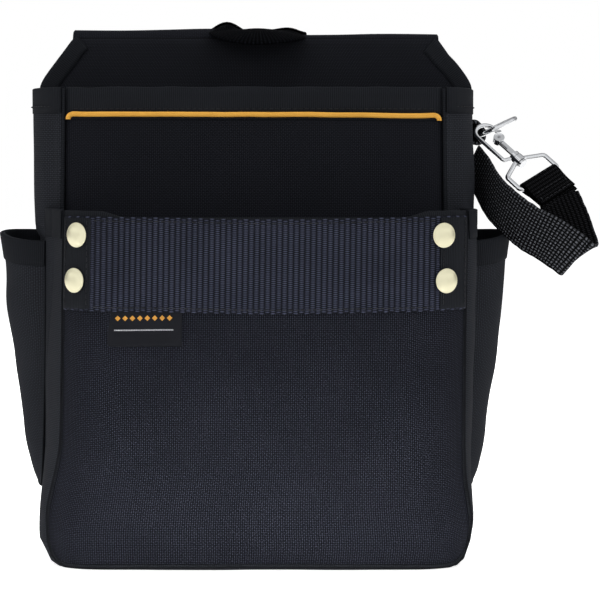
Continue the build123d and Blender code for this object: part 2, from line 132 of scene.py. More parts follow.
# Strap: middle of the tape and the way its width points
STRAP_WIDE = 25.0
STRAP_THICK = 1.7
STRAP_ROUTE = [
    ((126.2, 48.4, 221.8), (0.0, 0.0, 1.0)),
    ((131.5, 40.0, 214.8), (0.1, -0.2, 0.97)),
    ((137.2, 27.0, 203.2), (0.28, -0.4, 0.86)),
    ((145.0, 12.0, 194.0), (0.35, -0.4, 0.85)),
    ((155.0, 1.5, 185.6), (0.45, -0.3, 0.83)),
    ((166.0, -4.5, 179.3), (0.6, -0.15, 0.78)),
    ((175.5, -9.5, 172.8), (0.7, 0.0, 0.7)),
    ((179.9, -7.7, 169.4), (0.75, 0.03, 0.65)),
    ((181.2, -2.0, 172.2), (0.77, 0.08, 0.62)),
    ((180.1, 1.9, 179.6), (0.79, 0.18, 0.58)),
    ((177.5, 4.7, 189.2), (0.8, 0.3, 0.52)),
]
STRAP_CELLS = (110, 12)
STRAP_SLEEVE_R = 2.6
STRAP_END_REACH = 15.4
STRAP_END_CELLS = 70
HOOK_ORIGIN = Vector((134.5, 41.6, 240.5))
HOOK_AXIS = Vector((0.6235, -0.5, -0.601)).normalized()
HOOK_ACROSS = Vector((0.781, 0.433, 0.45))
EYE_BAR_X = 45.5
RING_HINGE = Vector((130.0, 50.0, 237.8))
TAB_OUTLINE = [
    (-5.5, 9.6), (-3.0, 10.0), (-0.4, 9.4), (1.8, 7.6), (3.8, 4.6), (4.9, 1.6), (4.6, -1.2), (3.4, -3.6),
    (1.4, -5.0), (-1.2, -5.2), (-3.4, -4.4), (-5.5, -3.0),
]
TAB_LAYERS = 12

# Grab loop: LOOP_SMILE is its droop in front, and LOOP_LEG is each leg's share of its length. A leg runs from
# LOOP_ROOT to LOOP_LEG_REACH in front of the hinge.
LOOP_MIDDLE = 1.0
LOOP_R = (8.0, 28.0)
LOOP_HINGE = Vector((LOOP_MIDDLE, 52.8, 301.9))
LOOP_TOP = 299.6
LOOP_SMILE = 8.0
LOOP_LEG = 0.13
LOOP_ROOT = -1.4
LOOP_LEG_REACH = 3.0
LOOP_END_CELLS = 30

# Camera
CAMERA_AT = Vector((0.0258, -1.157, 0.224))
CAMERA_PITCH = math.radians(3.9)
CAMERA_LENS = 123.2
CAMERA_SENSOR = 36.0

# Surroundings for every ray but the camera's: shade from front to back, and grey strips from low to high
WORLD_DEPTH = [(0.15, (0.72, 0.73, 0.75)), (0.62, (0.25, 0.25, 0.26))]
WORLD_STRIPS = [(0.0, 1.0), (0.1, 0.3), (0.24, 1.0), (0.5, 1.0), (0.62, 0.35), (0.72, 1.0), (0.95, 0.5)]
GLOSSY_GAIN = 0.4
FLOOR_REACH = 6.0
FLOOR_GLOW = 0.75


def lerp(a, b, t):
    """The value a share t of the way from a to b."""
    return a + (b - a) * t


def clamp(value, low, high):
    """value, kept between low and high."""
    return max(low, min(high, value))


def ease(t):
    """0 to 1 with a soft start and end."""
    t = clamp(t, 0.0, 1.0)
    return t * t * (3 - 2 * t)


def through(stops, x):
    """The smooth line through (place, value) stops, read at x."""
    x = clamp(x, stops[0][0], stops[-1][0])
    last = len(stops) - 2
    n = max(i for i in range(last + 1) if stops[i][0] <= x or i == 0)
    (x0, y0), (x1, y1) = stops[n], stops[n + 1]
    before = stops[max(n - 1, 0)]
    after = stops[min(n + 2, last + 1)]
    slope_in = (y1 - before[1]) / (x1 - before[0])
    slope_out = (after[1] - y0) / (after[0] - x0)
    t = (x - x0) / (x1 - x0)
    span = x1 - x0
    a = 2 * t**3 - 3 * t**2 + 1
    b = t**3 - 2 * t**2 + t
    return a * y0 + b * span * slope_in + (1 - a) * y1 + (t**3 - t**2) * span * slope_out


def lengths(points):
    """How far along a path each of its points is."""
    gone = [0.0]
    for near, far in zip(points, points[1:]):
        gone.append(gone[-1] + (far - near).length)
    return gone


def between(gone, vectors, place):
    """The smooth value of a row of vectors, read at a distance along their path."""
    return Vector([through([(g, vector[k]) for g, vector in zip(gone, vectors)], place) for k in range(3)])


def smooth_line(points, count):
    """count + 1 evenly placed points on a smooth line through the points, as vectors."""
    gone = lengths(points)
    return [between(gone, points, gone[-1] * n / count) for n in range(count + 1)]


def tangent_at(path, n):
    """The way a path runs at its point n."""
    return (path[min(n + 1, len(path) - 1)] - path[max(n - 1, 0)]).normalized()


def rumple(point, size, amount, seed=0.0):
    """A smooth random height at a point, the same each run."""
    return amount * noise.noise(point / size + Vector((seed, seed * 0.7, 0.0)))


def corner_rise(x, middle, half, radius):
    """How far a rounded lower corner lifts the outline at x."""
    past = clamp(abs(x - middle) - (half - radius), 0.0, radius)
    return radius - math.sqrt(radius * radius - past * past)


# ---------------------------------------------------------------- meshes


def add_piece(name, points, faces, uvs, style, slot, body="pouch", replaces=()):
    mesh = bpy.data.meshes.new(name)
    mesh.from_pydata([p * MM for p in points], [], faces)
    layer = mesh.uv_layers.new(name=UV_NAME)
    loops = [0] * len(mesh.loops)
    mesh.loops.foreach_get("vertex_index", loops)
    layer.data.foreach_set("uv", [c for n in loops for c in uvs[n]])
    work = bmesh.new()
    work.from_mesh(mesh)
    bmesh.ops.recalc_face_normals(work, faces=work.faces)
    work.to_mesh(mesh)
    work.free()
    mesh.shade_smooth()
    mesh.materials.append(style)
    piece = bpy.data.objects.new(name, mesh)
    bpy.context.scene.collection.objects.link(piece)
    if body:
        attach(piece, body)
    if replaces:
        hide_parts(*replaces)
    return piece


def add_tube(faces, start, rings, sides):
    """Add the faces of a capped tube, whose points run ring by ring from start."""
    for ring in range(rings - 1):
        for k in range(sides):
            a, b = start + ring * sides + k, start + ring * sides + (k + 1) % sides
            faces.append((a, b, b + sides, a + sides))
    faces.append(tuple(range(start, start + sides)))
    last = start + (rings - 1) * sides
    faces.append(tuple(range(last, last + sides)))


def slab(name, surface, cells, size, thick, side, style, slot, **more):
    """Cloth of one thickness behind surface(u, v). side is +1 or -1 and says which way is out."""
    wide, tall = cells

    def at(i, j):
        return j * (wide + 1) + i

    face = [surface(i / wide, j / tall) for j in range(tall + 1) for i in range(wide + 1)]
    back = []
    for j in range(tall + 1):
        for i in range(wide + 1):
            du = face[at(min(i + 1, wide), j)] - face[at(max(i - 1, 0), j)]
            dv = face[at(i, min(j + 1, tall))] - face[at(i, max(j - 1, 0))]
            back.append(face[at(i, j)] - du.cross(dv).normalized() * side * thick)
    count = len(face)
    points = face + back
    uvs = [(size[0] * i / wide, size[1] * j / tall) for j in range(tall + 1) for i in range(wide + 1)] * 2
    faces = []
    for j in range(tall):
        for i in range(wide):
            quad = (at(i, j), at(i + 1, j), at(i + 1, j + 1), at(i, j + 1))
            faces.append(quad)
            faces.append(tuple(count + n for n in reversed(quad)))
    border = [(i, 0) for i in range(wide)] + [(wide, j) for j in range(tall)]
    border += [(i, tall) for i in range(wide, 0, -1)] + [(0, j) for j in range(tall, 0, -1)]
    rim_start = len(points)
    for i, j in border:
        n = at(i, j)
        within = face[at(clamp(i, 1, wide - 1), clamp(j, 1, tall - 1))]
        points.append((face[n] + back[n]) / 2 + (face[n] - within).normalized() * thick * 0.4)
        uvs.append(uvs[n])
    for k, (i, j) in enumerate(border):
        after = (k + 1) % len(border)
        here, there = at(i, j), at(*border[after])
        faces.append((here, rim_start + k, rim_start + after, there))
        faces.append((rim_start + k, count + here, count + there, rim_start + after))
    return add_piece(name, points, faces, uvs, style, slot, **more)


def sweep(name, path, guides, profile, style, slot, **more):
    """A closed profile of (a, b) pairs along a path; a points along the guide, b square to it."""
    points, faces, uvs = [], [], []
    girth = [0.0]
    for (a0, b0), (a1, b1) in zip(profile, profile[1:]):
        girth.append(girth[-1] + math.hypot(a1 - a0, b1 - b0))
    gone = 0.0
    for n, place in enumerate(path):
        tangent = tangent_at(path, n)
        a_way = (guides[n] - tangent * guides[n].dot(tangent)).normalized()
        b_way = tangent.cross(a_way)
        gone += (place - path[max(n - 1, 0)]).length
        for (a, b), across in zip(profile, girth):
            points.append(place + a_way * a + b_way * b)
            uvs.append((gone, across))
    add_tube(faces, 0, len(path), len(profile))
    return add_piece(name, points, faces, uvs, style, slot, **more)


def round_profile(a_radius, b_radius, sides=12):
    """An ellipse as a profile."""
    turns = [2 * math.pi * k / sides for k in range(sides)]
    return [(a_radius * math.cos(t), b_radius * math.sin(t)) for t in turns]


def fold_profile(half, drop):
    """A binding tape folded over an edge. a is out from the cloth, b is back from the edge."""
    over = [(math.cos(t), math.sin(t)) for t in [math.pi * k / 6 for k in range(7)]]
    outer = [(half, drop)] + [(half, drop * k / 4) for k in (3, 2, 1)]
    outer += [(half * c, -0.7 * s) for c, s in over]
    outer += [(-half, drop * k / 4) for k in (1, 2, 3, 4)]
    inner_half = half - TAPE
    inner = [(-inner_half, drop), (-inner_half, drop / 2), (-inner_half, 0.5), (0.0, 0.1)]
    inner += [(inner_half, 0.5), (inner_half, drop / 2), (inner_half, drop)]
    return outer + inner


def binding(name, edge, drops, drop, half=CLOTH / 2 + TAPE, **more):
    """A folded tape along an edge. drops says which way the cloth goes from each edge point."""
    guides = [way.cross(tangent_at(edge, n)) for n, way in enumerate(drops)]
    return sweep(name, edge, guides, fold_profile(half, drop), BINDING, "binding_tape", **more)


def track(surface, side, places, lift=0.0):
    """(point, outward) pairs on a surface at (u, v) places."""
    found = []
    step = 0.004
    for u, v in places:
        u0, u1 = clamp(u - step, 0, 1), clamp(u + step, 0, 1)
        v0, v1 = clamp(v - step, 0, 1), clamp(v + step, 0, 1)
        du = surface(u1, v) - surface(u0, v)
        dv = surface(u, v1) - surface(u, v0)
        out = du.cross(dv).normalized() * side
        found.append((surface(u, v) + out * lift, out))
    return found


def line_of(start, end, count):
    """Evenly placed (u, v) pairs between two of them."""
    return [(lerp(start[0], end[0], n / count), lerp(start[1], end[1], n / count)) for n in range(count + 1)]


def hem(surface, side, start, end, count):
    """The middle of the cloth along an edge of a surface."""
    return [point - out * CLOTH / 2 for point, out in track(surface, side, line_of(start, end, count))]


def row(surface, side, start, end, count, lift=0.05):
    """A straight row of stitches on a surface."""
    return track(surface, side, line_of(start, end, count), lift)


def stitches(name, rows, style, slot, body="pouch"):
    """Every thread stitch of some rows as one piece. A row is a list of (point, outward) pairs."""
    points, faces, uvs = [], [], []
    rings = ((0.0, 0.3, -0.2), (0.12, 0.85, 0.05), (0.5, 1.0, 0.16), (0.88, 0.85, 0.05), (1.0, 0.3, -0.2))
    sides = 6
    for pairs in rows:
        gone = lengths([point for point, _ in pairs])
        count = int(gone[-1] / STITCH_PITCH)
        n = 0
        for k in range(count):
            places = [k * STITCH_PITCH + STITCH_LONG * share + STITCH_LEAD for share, _, _ in rings]
            spots = []
            for place in places:
                while n < len(pairs) - 2 and gone[n + 1] < place:
                    n += 1
                t = clamp((place - gone[n]) / max(gone[n + 1] - gone[n], 1e-6), 0.0, 1.0)
                spots.append((pairs[n][0].lerp(pairs[n + 1][0], t), pairs[n][1]))
            along = spots[-1][0] - spots[0][0]
            if along.length < STITCH_SHORTEST:
                continue
            start = len(points)
            for (place, out), (_, swell, lift) in zip(spots, rings):
                sideways = along.cross(out).normalized()
                for s in range(sides):
                    turn = 2 * math.pi * s / sides
                    offset = sideways * math.cos(turn) + out * math.sin(turn)
                    points.append(place + out * lift + offset * STITCH_R * swell)
                    uvs.append((places[0], s))
            add_tube(faces, start, len(rings), sides)
    return add_piece(name, points, faces, uvs, style, slot, body=body)


# ---------------------------------------------------------------- materials


def feed(tree, socket, value):
    """Link an output to a socket, or set the socket to a number or a colour."""
    if isinstance(value, bpy.types.NodeSocket):
        tree.links.new(value, socket)
    elif isinstance(value, tuple):
        socket.default_value = (*value, 1.0)
    else:
        socket.default_value = value


def colour_ramp(tree, value, stops):
    """Colours along a value, from (position, colour) stops."""
    node = tree.nodes.new("ShaderNodeValToRGB")
    tree.links.new(value, node.inputs[0])
    elements = node.color_ramp.elements
    for element, (position, colour) in zip(elements, (stops[0], stops[-1])):
        element.position = position
        element.color = (*colour, 1.0)
    for position, colour in stops[1:-1]:
        elements.new(position).color = (*colour, 1.0)
    return node.outputs[0]


def mix_colours(tree, share, first, second, mode="MIX"):
    """Two colours mixed by a share."""
    node = tree.nodes.new("ShaderNodeMix")
    node.data_type = "RGBA"
    node.blend_type = mode
    for number, value in ((0, share), (6, first), (7, second)):
        feed(tree, node.inputs[number], value)
    return node.outputs[2]


class Style:
    """A node material with short names for the nodes it needs."""

    def __init__(self, name, roughness=0.8, metallic=0.0, specular=0.5):
        self.material = bpy.data.materials.new(name)
        self.material.use_nodes = True
        self.tree = self.material.node_tree
        self.shader = self.tree.nodes["Principled BSDF"]
        self.shader.inputs["Roughness"].default_value = roughness
        self.shader.inputs["Metallic"].default_value = metallic
        self.shader.inputs["Specular IOR Level"].default_value = specular

    def math(self, operation, a, b=0.0):
        """One math node."""
        node = self.tree.nodes.new("ShaderNodeMath")
        node.operation = operation
        feed(self.tree, node.inputs[0], a)
        feed(self.tree, node.inputs[1], b)
        return node.outputs[0]

    def times(self, a, b):
        """The product of two values."""
        return self.math("MULTIPLY", a, b)

    def plus(self, a, b):
        """The sum of two values."""
        return self.math("ADD", a, b)

    def gap(self, a, b):
        """How far apart two values are."""
        return self.math("ABSOLUTE", self.math("SUBTRACT", a, b))

    def uv(self):
        """The two weave coordinates, in millimetres."""
        where = self.tree.nodes.new("ShaderNodeUVMap")
        where.uv_map = UV_NAME
        split = self.tree.nodes.new("ShaderNodeSeparateXYZ")
        self.tree.links.new(where.outputs[0], split.inputs[0])
        return split.outputs[0], split.outputs[1]

    def noise(self, scale, detail=3.0):
        """A random value that changes over about 1/scale metres in the piece's own space."""
        node = self.tree.nodes.new("ShaderNodeTexNoise")
        where = self.tree.nodes.new("ShaderNodeTexCoord")
        self.tree.links.new(where.outputs["Object"], node.inputs["Vector"])
        node.inputs["Scale"].default_value = scale
        node.inputs["Detail"].default_value = detail
        return node.outputs["Fac"]

    def ramp(self, value, stops):
        """Colours along a value."""
        return colour_ramp(self.tree, value, stops)

    def blend(self, share, first, second):
        """Two colours mixed by a share."""
        return mix_colours(self.tree, share, first, second)

    def wave(self, value, pitch):
        """A row of round threads: 0 between them, 1 on top."""
        return self.math("ABSOLUTE", self.math("SINE", self.math("MULTIPLY", value, math.pi / pitch)))

    def checker(self, u, v, u_pitch, v_pitch):
        """0 or 1, changing at each thread crossing."""
        column = self.math("FLOOR", self.math("DIVIDE", u, u_pitch))
        row = self.math("FLOOR", self.math("DIVIDE", v, v_pitch))
        return self.math("FLOORED_MODULO", self.math("ADD", column, row), 2.0)

    def bump(self, height, distance, strength=1.0):
        """Surface relief from a height of 0 to 1."""
        node = self.tree.nodes.new("ShaderNodeBump")
        node.inputs["Distance"].default_value = distance
        node.inputs["Strength"].default_value = strength
        self.tree.links.new(height, node.inputs["Height"])
        self.tree.links.new(node.outputs[0], self.shader.inputs["Normal"])

    def colour(self, value):
        """The base colour."""
        self.tree.links.new(value, self.shader.inputs["Base Color"])

    def sheen(self, weight, tint):
        """The soft shine of yarn."""
        self.shader.inputs["Sheen Weight"].default_value = weight
        self.shader.inputs["Sheen Roughness"].default_value = SHEEN_ROUGHNESS
        self.shader.inputs["Sheen Tint"].default_value = (*tint, 1.0)


def woven(name, dark, light, u_pitch, v_pitch, relief=0.25, gloss=0.07, crown=2.2):
    """Plain-woven yarn: threads over and under, with fluff and wear in large soft patches."""
    style = Style(name, roughness=0.82, specular=gloss)
    u, v = style.uv()
    warp, weft = style.wave(u, u_pitch), style.wave(v, v_pitch)
    over = style.checker(u, v, u_pitch, v_pitch)
    long_one = style.times(warp, style.math("POWER", weft, 0.45))
    short_one = style.times(style.math("POWER", warp, 0.45), weft)
    height = style.plus(style.times(long_one, over),
                        style.times(short_one, style.math("SUBTRACT", 1.0, over)))
    patches = style.times(style.noise(22.0, 4.0), 0.6)
    lint = style.math("GREATER_THAN", style.noise(900.0, 1.0), 0.735)
    crowns = style.math("POWER", height, crown)
    tone = style.times(crowns, style.plus(patches, 0.6))
    tone = style.times(tone, style.plus(style.times(over, 0.45), 0.7))
    tone = style.plus(tone, style.times(lint, 0.25))
    style.colour(style.ramp(tone, [(0.0, dark), (0.9, light)]))
    style.bump(height, relief * MM)
    style.sheen(gloss * 0.03, (0.75, 0.82, 1.0))
    return style.material


def ribbed(name, dark, light, pitch):
    """Grosgrain tape: ribs across its length, with a finer weave along it."""
    style = Style(name, roughness=0.75, specular=0.07)
    u, v = style.uv()
    ribs = style.wave(u, pitch)
    fine = style.wave(v, 0.55)
    height = style.plus(style.times(ribs, 0.75), style.times(fine, 0.25))
    tone = style.plus(height, style.times(style.noise(30.0, 3.0), 0.5))
    style.colour(style.ramp(tone, [(0.2, dark), (1.4, light)]))
    style.bump(height, 0.2 * MM)
    style.sheen(0.003, (0.8, 0.85, 1.0))
    return style.material


def band_cloth(name):
    """The wide webbing: columns of short cross threads, plainer at its folded ends."""
    style = Style(name, roughness=0.72, specular=0.11)
    u, v = style.uv()
    column = style.wave(u, 3.0)
    odd = style.math("FLOORED_MODULO", style.math("FLOOR", style.math("DIVIDE", u, 3.0)), 2.0)
    shifted = style.plus(v, style.times(odd, 0.6))
    ticks = style.math("POWER", style.wave(shifted, 1.15), 3.0)
    height = style.times(style.math("POWER", column, 1.2), style.plus(ticks, 0.12))
    patches = style.noise(35.0, 3.0)
    strong = style.times(height, style.plus(patches, 0.35))
    style.colour(style.ramp(strong, [(0.0, (0.0015, 0.002, 0.0038)), (0.8, (0.052, 0.057, 0.088))]))
    style.bump(height, 0.35 * MM)
    style.sheen(0.003, (0.75, 0.8, 1.0))
    return style.material


def plain_yarn(name, dark, light, roughness=0.6, pitch=0.45):
    """Twisted yarn or a woven cord: fine slanted ridges."""
    style = Style(name, roughness=roughness, specular=0.2)
    u, v = style.uv()
    slant = style.plus(u, v)
    ridges = style.wave(slant, pitch)
    tone = style.plus(style.times(ridges, 0.6), style.times(style.noise(60.0), 0.6))
    style.colour(style.ramp(tone, [(0.2, dark), (1.0, light)]))
    style.bump(ridges, 0.08 * MM)
    style.sheen(0.03, (1.0, 0.95, 0.85))
    return style.material


def label_cloth(name, width, height):
    """A woven label: one pale line and a row of small amber diamonds; its border line is not drawn."""
    style = Style(name, roughness=0.6, specular=0.1)
    u, v = style.uv()
    across = style.math("SUBTRACT", u, width / 2)
    beat = style.math("FLOORED_MODULO", style.plus(across, 40.0), 4.0)
    diamond_u = style.gap(beat, 2.0)
    diamond_v = style.gap(v, height * 0.34)
    diamond = style.math("LESS_THAN", style.plus(diamond_u, diamond_v), 1.5)
    middle = style.math("LESS_THAN", style.math("ABSOLUTE", across), 16.0)
    line = style.math("LESS_THAN", style.gap(v, height * 0.62), 0.35)
    ticks = style.math("GREATER_THAN", style.wave(u, 0.9), 0.25)
    weave = style.times(style.wave(u, 0.4), style.wave(v, 0.4))
    ground = style.ramp(
        style.plus(weave, style.times(style.noise(80.0), 0.4)),
        [(0.1, (0.001, 0.001, 0.002)), (1.0, (0.015, 0.016, 0.02))])
    amber = style.blend(weave, (0.45, 0.2, 0.03), (0.8, 0.42, 0.09))
    pale = style.blend(weave, (0.3, 0.3, 0.32), (0.6, 0.6, 0.62))
    coloured = style.blend(style.times(diamond, middle), ground, amber)
    lined = style.times(style.times(line, middle), ticks)
    style.colour(style.blend(lined, coloured, pale))
    style.bump(weave, 0.1 * MM)
    style.sheen(0.003, (1.0, 1.0, 1.0))
    return style.material


def metal(name, colour, roughness, scratch=0.05, mottle=0.0, darker=(0.2, 0.2, 0.2)):
    """Polished metal with fine scratches and a little tarnish."""
    style = Style(name, roughness=roughness, metallic=1.0)
    fine = style.noise(1500.0, 2.0)
    broad = style.noise(90.0, 3.0)
    rough = style.plus(roughness, style.times(fine, scratch))
    style.tree.links.new(rough, style.shader.inputs["Roughness"])
    style.colour(style.blend(style.times(broad, mottle), colour, darker))
    style.bump(fine, 0.01 * MM, 0.3)
    return style.material


def board_plastic(name):
    """Dark stiffener board, which only shows from inside."""
    style = Style(name, roughness=0.5)
    style.colour(style.ramp(style.noise(120.0), [(0.3, (0.01, 0.01, 0.011)), (0.8, (0.03, 0.03, 0.032))]))
    style.bump(style.noise(800.0), 0.05 * MM)
    return style.material


PANEL_CLOTH = woven("panel_cloth", (0.0016, 0.0019, 0.0028), (0.043, 0.046, 0.064), 1.2, 1.0, crown=2.8)
# The same nylon as the panel cloth, made darker: painted shade for the main panel, back and belt flap.
MAIN_CLOTH_SHADED = woven("main_cloth_painted_shade", (0.003, 0.0033, 0.0043), (0.0165, 0.0175, 0.023), 1.1, 0.95,
                   relief=0.15, crown=1.2)
# The same nylon as the main cloth, made lighter: painted light for the gussets, front wall and side pockets,
# which catch light from the side.
GUSSET_CLOTH_LIT = woven("gusset_cloth_painted_light", (0.006, 0.0066, 0.008), (0.034, 0.0365, 0.044), 1.1, 0.95,
                     relief=0.15, crown=1.2)
LINING_CLOTH = woven("lining_cloth", (0.003, 0.0033, 0.004), (0.022, 0.0235, 0.03), 1.0, 0.85,
                     relief=0.12, crown=1.5)
BINDING = ribbed("binding_tape", (0.0005, 0.0008, 0.0013), (0.014, 0.0153, 0.0185), 1.15)
BAND = band_cloth("band_webbing")
STRAP = woven("strap_webbing", (0.0, 0.0, 0.0), (0.13, 0.135, 0.15), 2.2, 1.7, relief=0.7, crown=3.4)
# Back face of the strap webbing: partly its own plainer, darker back, partly painted shade on the inner side
# and the folded end.
STRAP_BACK_SHADED = woven("strap_webbing_back_painted_shade", (0.0, 0.0, 0.0), (0.016, 0.016, 0.018), 1.1, 2.6,
                   relief=0.7, gloss=0.03)
LOOP = woven("loop_webbing", (0.0, 0.0, 0.0), (0.0055, 0.006, 0.008), 1.9, 1.3, relief=0.4, gloss=0.02)
THREAD = plain_yarn("thread", (0.003, 0.003, 0.004), (0.025, 0.026, 0.031))
PIPING = plain_yarn("piping_cord", (0.66, 0.3, 0.04), (1.0, 0.52, 0.085), roughness=0.55, pitch=0.6)
LABEL = label_cloth("label_weave", LABEL_X[1] - LABEL_X[0], LABEL_Z[1] - LABEL_Z[0])
BRASS = metal("pale_brass", (1.0, 0.95, 0.68), 0.36, scratch=0.1, mottle=0.25, darker=(0.85, 0.76, 0.46))
CHROME = metal("chrome", (0.9, 0.905, 0.91), 0.06, scratch=0.05, mottle=0.15)
STEEL = metal("spring_steel", (0.5, 0.5, 0.51), 0.28, scratch=0.1, mottle=0.3)
BOARD = board_plastic("board")


# ---------------------------------------------------------------- front pocket


def front_sides(z):
    """(middle, half width) of the front panel at a height."""
    left, right = through(FRONT_LEFT, z), through(FRONT_RIGHT, z)
    return (left + right) / 2, (right - left) / 2


def front_face(u, v):
    """Outer face of the front panel: flat in the middle, rolled back towards both side seams."""
    middle, half = front_sides(lerp(FRONT_HEAD, FRONT_FOOT, v))
    flat = half - ROLL_R * math.sin(ROLL_END)
    gone = (2 * u - 1) * (flat + ROLL_R * ROLL_END)
    past = max(abs(gone) - flat, 0.0) / ROLL_R
    x = middle + math.copysign(min(abs(gone), flat) + ROLL_R * math.sin(past), gone)
    reach = abs(x - middle) / half
    head = 192.4 + 3.6 * ease((abs(x - middle) - 74) / 16)
    foot = 3.2 - 1.0 * reach**2 + corner_rise(x, middle, half, FRONT_CORNER)
    z = lerp(head, foot, v)
    belly = 3.2 * math.sin(math.pi * clamp((z - 5) / 150, 0, 1)) * (1 - reach**3)
    tuck = 4.0 * clamp(1 - z / 20, 0, 1) ** 2
    y = FRONT_Y + ROLL_R * (1 - math.cos(past)) - belly + tuck
    calm = ease((150 - z) / 40)
    y += calm * (rumple(Vector((x, 0, z)), 60.0, 1.6, 3.0) + rumple(Vector((x, 0, z)), 17.0, 0.35, 9.0))
    return Vector((x, y, z))


def front_rim(s):
    """The front panel's seam: down the left side, along the foot and up the right side."""
    if s <= 1 / 3:
        return front_face(0.0, s * 3)
    if s <= 2 / 3:
        return front_face(s * 3 - 1, 1.0)
    return front_face(1.0, 3 - s * 3)


def u_outline(s, half, head, radius, y):
    """A point of a U-shaped outline: down the left side, along the base and up the right side."""
    if s <= 1 / 3:
        return Vector((-half, y, lerp(head, radius, s * 3)))
    if s <= 2 / 3:
        x = lerp(-half, half, s * 3 - 1)
        return Vector((x, y, corner_rise(x, 0.0, half, radius)))
    return Vector((half, y, lerp(radius, head, s * 3 - 2)))


def outward(point, half, radius):
    """The way out of a U-shaped outline, square to it."""
    kernel = Vector((clamp(point.x, radius - half, half - radius), point.y, max(point.z, radius)))
    return (point - kernel).normalized()


def front_wall(s, t):
    """Gussets and base of the front pocket, from the seam back to the main compartment."""
    seam = front_rim(s)
    rear_half = main_half(4.0, seam.z) + 0.6
    rear = u_outline(s, rear_half, 196.5, CORNER, 4.0)
    point = seam.lerp(rear, t)
    point.z = rear.z + (seam.z - rear.z) * max(0.0, 1 - 4 * t) ** 2
    out = outward(rear, rear_half, CORNER)
    if point.x > 0:
        swell = lerp(2.0, 5.5, ease(point.z / 150))
    else:
        swell = lerp(3.4, 0.6, ease((point.z - 110) / 60))
    crease = 1.6 * math.exp(-(((t - 0.55) / 0.05) ** 2))
    point += out * (swell * math.sin(math.pi * t**0.8) - crease) * (1 + out.z)
    point += out * rumple(point, 30.0, 0.9, 5.0) * math.sin(math.pi * t)
    point.z = max(point.z, CLOTH + 0.1)
    return point


def make_front():
    """Front panel, its wall, seam, bindings, webbing, rivets and label."""
    slab("front_panel_cloth", front_face, (84, 64), (240, 192), CLOTH, -1, PANEL_CLOTH, "nylon_cloth",
         replaces=["front_panel"])
    slab("front_wall_cloth", front_wall, (150, 16), (600, 50), CLOTH, 1, GUSSET_CLOTH_LIT, "nylon_cloth",
         replaces=["front_gusset_left", "front_gusset_right", "front_base"])
    seam = [front_rim(n / 150) + Vector((0, 0.6, 0)) for n in range(151)]
    sweep("front_seam_tape", seam, [FORWARD] * len(seam), round_profile(1.5, 1.1), BINDING,
          "binding_tape")
    mouth = hem(front_face, -1, (0, 0), (1, 0), 70)
    binding("front_mouth_tape", mouth, [DOWN] * len(mouth), BINDING_DROP, replaces=["front_mouth_binding"])
    for name, s in (("left", 0.0), ("right", 1.0)):
        edge = hem(front_wall, 1, (s, 0.0), (s, 0.93), 14)
        binding("front_gusset_tape_" + name, edge, [DOWN] * len(edge), BINDING_DROP + 1.5,
                replaces=["front_gusset_binding_" + name])
    make_band()
    make_rivets()
    make_label()


def on_front(u, z, lift):
    """A point over the front panel, and the way out there."""
    top = front_face(u, 0.0).z
    foot = front_face(u, 1.0).z
    return track(front_face, -1, [(u, clamp((top - z) / (top - foot), 0.0, 1.0))], lift)[0]


def band_face(u, v):
    """Outer face of the webbing across the front pocket's mouth."""
    z = lerp(BAND_Z[1], BAND_Z[0], v)
    point, out = on_front(lerp(0.016, 0.988, u), min(z, 191.0), 2.5)
    point.z = z + 0.6 * math.sin(u * 9.0) - 0.8 * (1 - ease(abs(u - 0.5) * 6 - 1.9))
    point.y += rumple(point, 24.0, 0.35, 2.0) + 0.5 * (1 - ease(v * 12)) + 0.5 * (1 - ease((1 - v) * 12))
    return point


def make_band():
    """The wide webbing, its folded ends and its stitches."""
    slab("band", band_face, (120, 22), (222, 50), 1.5, -1, BAND, "webbing", replaces=["webbing_band"])

    def end_face(start, stop):
        def face(u, v):
            place = lerp(start, stop, u)
            return band_face(place, lerp(0.01, 0.985, v)) + Vector((0, -0.75, 0.0))
        return face

    for name, start, stop in (("left", 0.0, 0.082), ("right", 0.918, 1.0)):
        slab("band_fold_" + name, end_face(start, stop), (12, 22), (19, 50), 0.7, -1, BINDING, "webbing")
    rows = []
    for u in (0.012, 0.076, 0.924, 0.988):
        rows.append(row(band_face, -1, (u, 0.03), (u, 0.97), 24, 0.85))
    for v in (0.035, 0.965):
        rows.append(row(band_face, -1, (0.09, v), (0.91, v), 90))
    stitches("band_stitches", rows, THREAD, "webbing")


def make_rivets():
    """Domed caps with a rolled edge, tilted with the cloth, and their washers inside."""
    spots = []
    for x in RIVET_X:
        for z in RIVET_Z:
            shift = -1.2 if (x > 0) == (z > 170) else 0.3
            u = min((n / 400 for n in range(401)),
                    key=lambda n: abs(on_front(n, z, RIVET_LIFT)[0].x - x - shift))
            spots.append(on_front(u, z, RIVET_LIFT))
    turned("rivet_domes", spots, RIVET_CAP, 36, BRASS, "rivet_brass", ["rivet_caps"], 0.0)
    turned("rivet_shanks", spots, RIVET_POST, 16, BRASS, "rivet_brass", ["rivet_posts"], 0.1)
    turned("rivet_washers", spots, RIVET_WASHER, 28, BRASS, "rivet_brass", ["rivet_backs"], 5.6)


def turned(name, spots, outline, sides, style, slot, replaces, inset):
    """The same turned part at each spot. outline is (radius, distance in from the spot)."""
    points, faces, uvs = [], [], []
    for place, out in spots:
        a_way = out.cross(Vector((0, 0, 1))).normalized()
        b_way = out.cross(a_way)
        first = len(points)
        for radius, depth in outline:
            for k in range(sides):
                turn = 2 * math.pi * k / sides
                rim = a_way * math.cos(turn) + b_way * math.sin(turn)
                points.append(place - out * (depth + inset) + rim * max(radius, 0.02))
                uvs.append((radius, k))
        add_tube(faces, first, len(outline), sides)
    add_piece(name, points, faces, uvs, style, slot, replaces=replaces)


